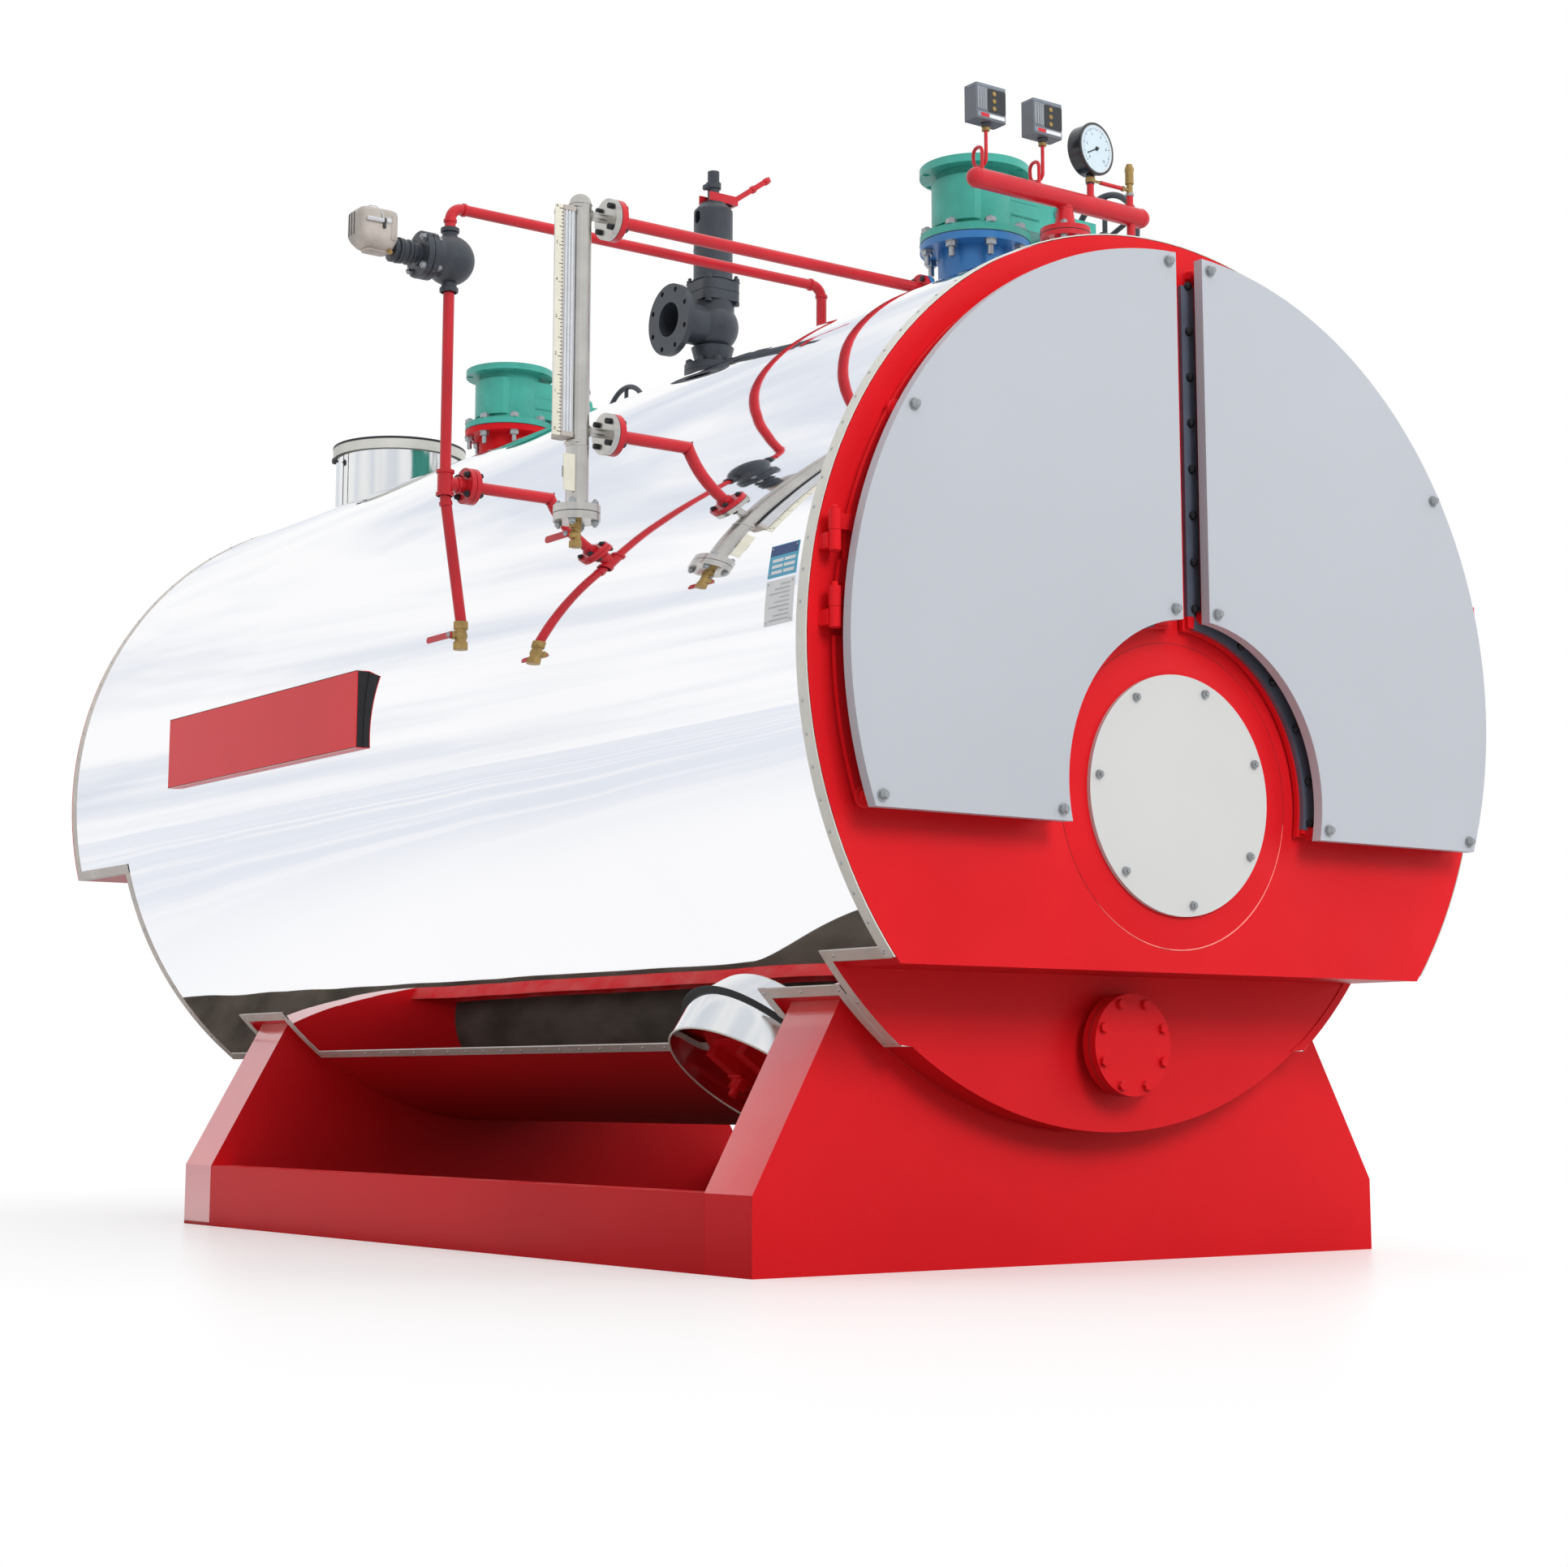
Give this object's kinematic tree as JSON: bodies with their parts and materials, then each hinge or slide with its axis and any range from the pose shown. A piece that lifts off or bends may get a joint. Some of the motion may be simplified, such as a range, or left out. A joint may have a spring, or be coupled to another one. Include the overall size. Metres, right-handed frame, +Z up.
{
  "type": "horizontal fire-tube steam boiler",
  "caption": "Horizontal fire-tube steam boiler on a red base, with polished jacket, hinged smoke box doors, steam and safety valves, and gauges",
  "frame": {"origin": "on the floor, under the middle of the front saddle", "axes": "X to the right seen from the burner end, Y to the back along the drum, Z up"},
  "size_m": [2.8899, 4.778, 3.558],
  "materials": {
    "red_paint": "gloss red enamel on steel",
    "polished_steel": "mirror-polished stainless sheet",
    "trim_steel": "pale grey edge strip",
    "black_paint": "black enamel on cast iron",
    "brass": "plain brass",
    "green_paint": "green enamel on cast iron",
    "blue_paint": "blue enamel on steel",
    "silver_paint": "silver-grey enamel on steel",
    "white_paint": "off-white enamel on steel",
    "bright_steel": "drawn stainless steel",
    "grey_plastic": "dark grey moulded plastic",
    "black_plastic": "black case with a pale dial",
    "aluminium": "anodised aluminium",
    "grey_casting": "bare grey casting"
  },
  "bodies": {
    "boiler": {"rail_left": "red_paint", "rail_right": "red_paint", "saddle_front": "red_paint", "saddle_rear": "red_paint", "drum_shell": "red_paint", "front_tube_plate": "red_paint", "rear_tube_plate": "red_paint", "handhole_cover": "red_paint", "manhole_collar": "polished_steel", "manhole_cover": "red_paint", "jacket": "polished_steel", "rim_band": "trim_steel", "smoke_box_front": "red_paint", "front_plate": "red_paint", "burner_sleeve": "red_paint", "burner_cover": "white_paint", "smoke_box_rear": "red_paint", "rear_plate": "red_paint", "flue_outlet": "polished_steel", "front_nozzle": "blue_paint", "rear_nozzle": "red_paint", "front_valve": "green_paint", "rear_valve": "green_paint", "safety_valve": "black_paint", "safety_bonnet": "black_paint", "gauge_manifold": "red_paint", "pressure_switch_1": "grey_plastic", "pressure_switch_2": "grey_plastic", "pressure_gauge": "black_plastic", "gauge_cock": "brass", "level_pipe_upper": "red_paint", "level_pipe_lower": "red_paint", "level_chamber": "bright_steel", "level_indicator": "aluminium", "level_drain": "brass", "float_pipe_upper": "red_paint", "float_body": "black_paint", "float_head": "grey_casting", "float_column": "red_paint", "float_drain": "brass", "name_board": "red_paint"},
    "door_left": {"door_left": "red_paint", "door_tray_left": "silver_paint"},
    "door_right": {"door_right": "red_paint", "door_tray_right": "silver_paint"},
    "front_handwheel": {"front_handwheel": "black_paint"},
    "rear_handwheel": {"rear_handwheel": "black_paint"},
    "level_drain_lever": {"level_drain_lever": "red_paint"},
    "float_drain_lever": {"float_drain_lever": "red_paint"},
    "safety_lever": {"safety_lever": "red_paint"}
  },
  "joints": [
    {"name": "door_left_hinge", "type": "hinge", "parent": "boiler", "child": "door_left", "pos_m": [-1.146, -0.506, 1.7], "axis": [0, 0, -1], "range_deg": [0, 100]},
    {"name": "door_right_hinge", "type": "hinge", "parent": "boiler", "child": "door_right", "pos_m": [1.146, -0.506, 1.7], "axis": [0, 0, 1], "range_deg": [0, 100]},
    {"name": "front_handwheel_turn", "type": "hinge", "parent": "boiler", "child": "front_handwheel", "pos_m": [0.52, 0.326, 3.033], "axis": [1, 0, 0], "continuous": true},
    {"name": "rear_handwheel_turn", "type": "hinge", "parent": "boiler", "child": "rear_handwheel", "pos_m": [0.52, 3.049, 3.008], "axis": [1, 0, 0], "continuous": true},
    {"name": "level_drain_turn", "type": "hinge", "parent": "boiler", "child": "level_drain_lever", "pos_m": [-1.388, 0.326, 1.884], "axis": [-1, 0, 0], "range_deg": [0, 90]},
    {"name": "float_drain_turn", "type": "hinge", "parent": "boiler", "child": "float_drain_lever", "pos_m": [-1.343, 1.025, 1.717], "axis": [-1, 0, 0], "range_deg": [0, 90]},
    {"name": "safety_lever_lift", "type": "hinge", "parent": "boiler", "child": "safety_lever", "pos_m": [0.045, 1.696, 3.433], "axis": [0, 1, 0], "range_deg": [0, 12]}
  ]
}
